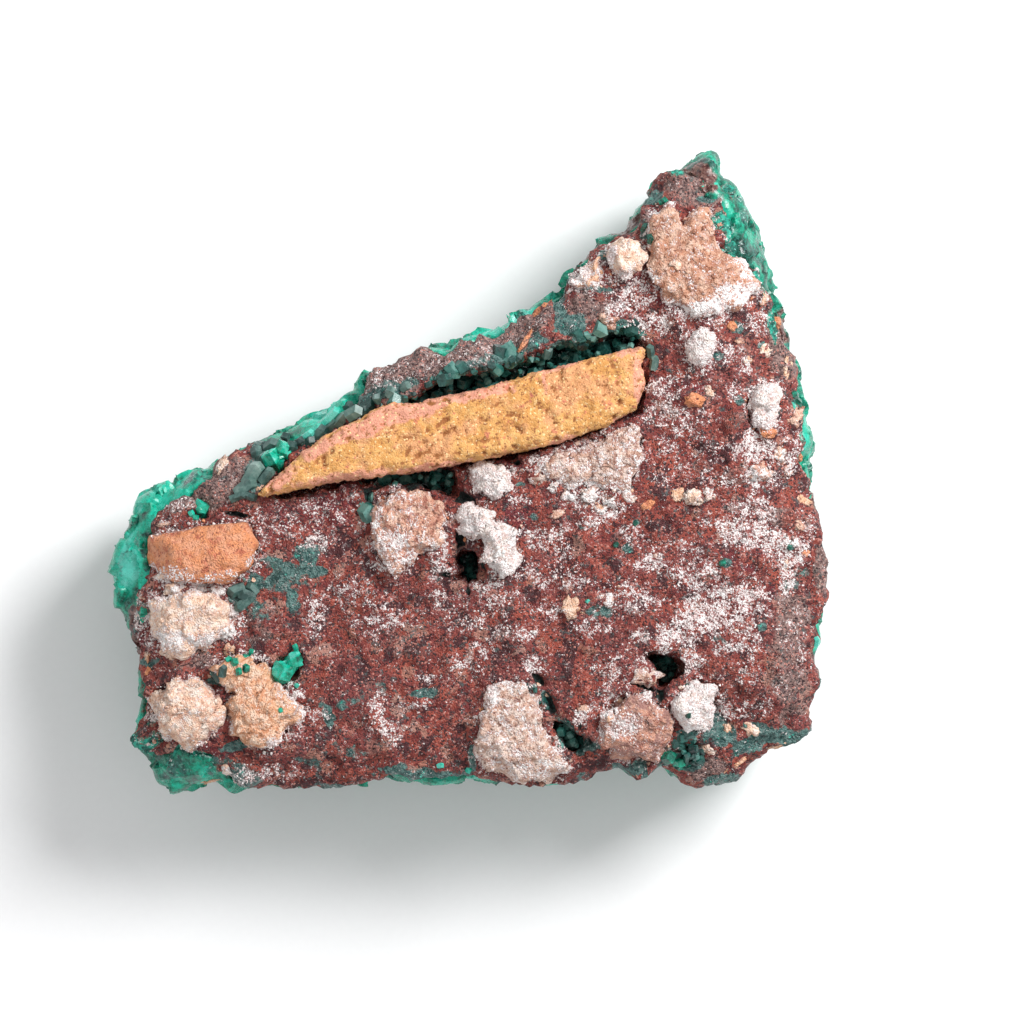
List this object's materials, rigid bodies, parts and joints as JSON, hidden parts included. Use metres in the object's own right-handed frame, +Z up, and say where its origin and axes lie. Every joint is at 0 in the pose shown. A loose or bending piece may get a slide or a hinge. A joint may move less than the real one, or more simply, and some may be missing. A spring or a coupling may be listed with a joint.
{
  "type": "mineral specimen",
  "caption": "Rough slab of brick-red breccia with pale stone fragments and an ochre blade in its face and a crust of green dioptase crystals round its sides, for display or study.",
  "frame": {"origin": "middle of the specimen's box on the surface that it rests on", "axes": "+Z up out of the broken rock face, +X along the longest side, towards the end with the pointed corner; +Y towards that corner's tip"},
  "size_m": [0.0762, 0.0694, 0.0249],
  "materials": {
    "brick_red_breccia": "rough broken rock, matte",
    "ochre_sandstone": "fine granular stone, matte",
    "terracotta_stone": "fine granular stone, matte",
    "cream_stone": "granular stone frosted with white druse",
    "peach_stone": "granular stone frosted with white druse",
    "rose_stone": "granular stone frosted with white druse",
    "salmon_stone": "granular stone frosted with white druse",
    "pale_stone": "granular stone frosted with white druse",
    "white_stone": "crust of fine white grains, matte",
    "dioptase": "glassy emerald green crystal faces",
    "deep_dioptase": "glassy dark teal crystal faces"
  },
  "bodies": {
    "root": {"matrix": "brick_red_breccia", "ochre_blade": "ochre_sandstone", "terracotta_clast": "terracotta_stone", "cream_clast_left": "cream_stone", "cream_clast_front_left": "cream_stone", "peach_clast": "peach_stone", "rose_clast_middle": "rose_stone", "white_clast_middle": "white_stone", "white_clast_by_blade": "white_stone", "pale_clast_by_blade": "pale_stone", "salmon_clast_back": "salmon_stone", "cream_clast_back": "cream_stone", "tan_clast_back": "peach_stone", "white_clast_back": "white_stone", "white_clast_right": "white_stone", "pale_clast_front": "pale_stone", "rose_clast_front": "rose_stone", "white_clast_front": "white_stone", "dioptase_crust": "dioptase", "crevice_dioptase": "deep_dioptase", "vug_under_blade_dioptase": "deep_dioptase", "vug_middle_dioptase": "deep_dioptase", "vug_front_dioptase": "deep_dioptase", "vug_right_dioptase": "deep_dioptase", "vug_corner_dioptase": "deep_dioptase", "dioptase_by_peach_clast": "dioptase", "dioptase_by_blade": "dioptase", "dioptase_by_terracotta_clast": "dioptase"}
  },
  "joints": []
}
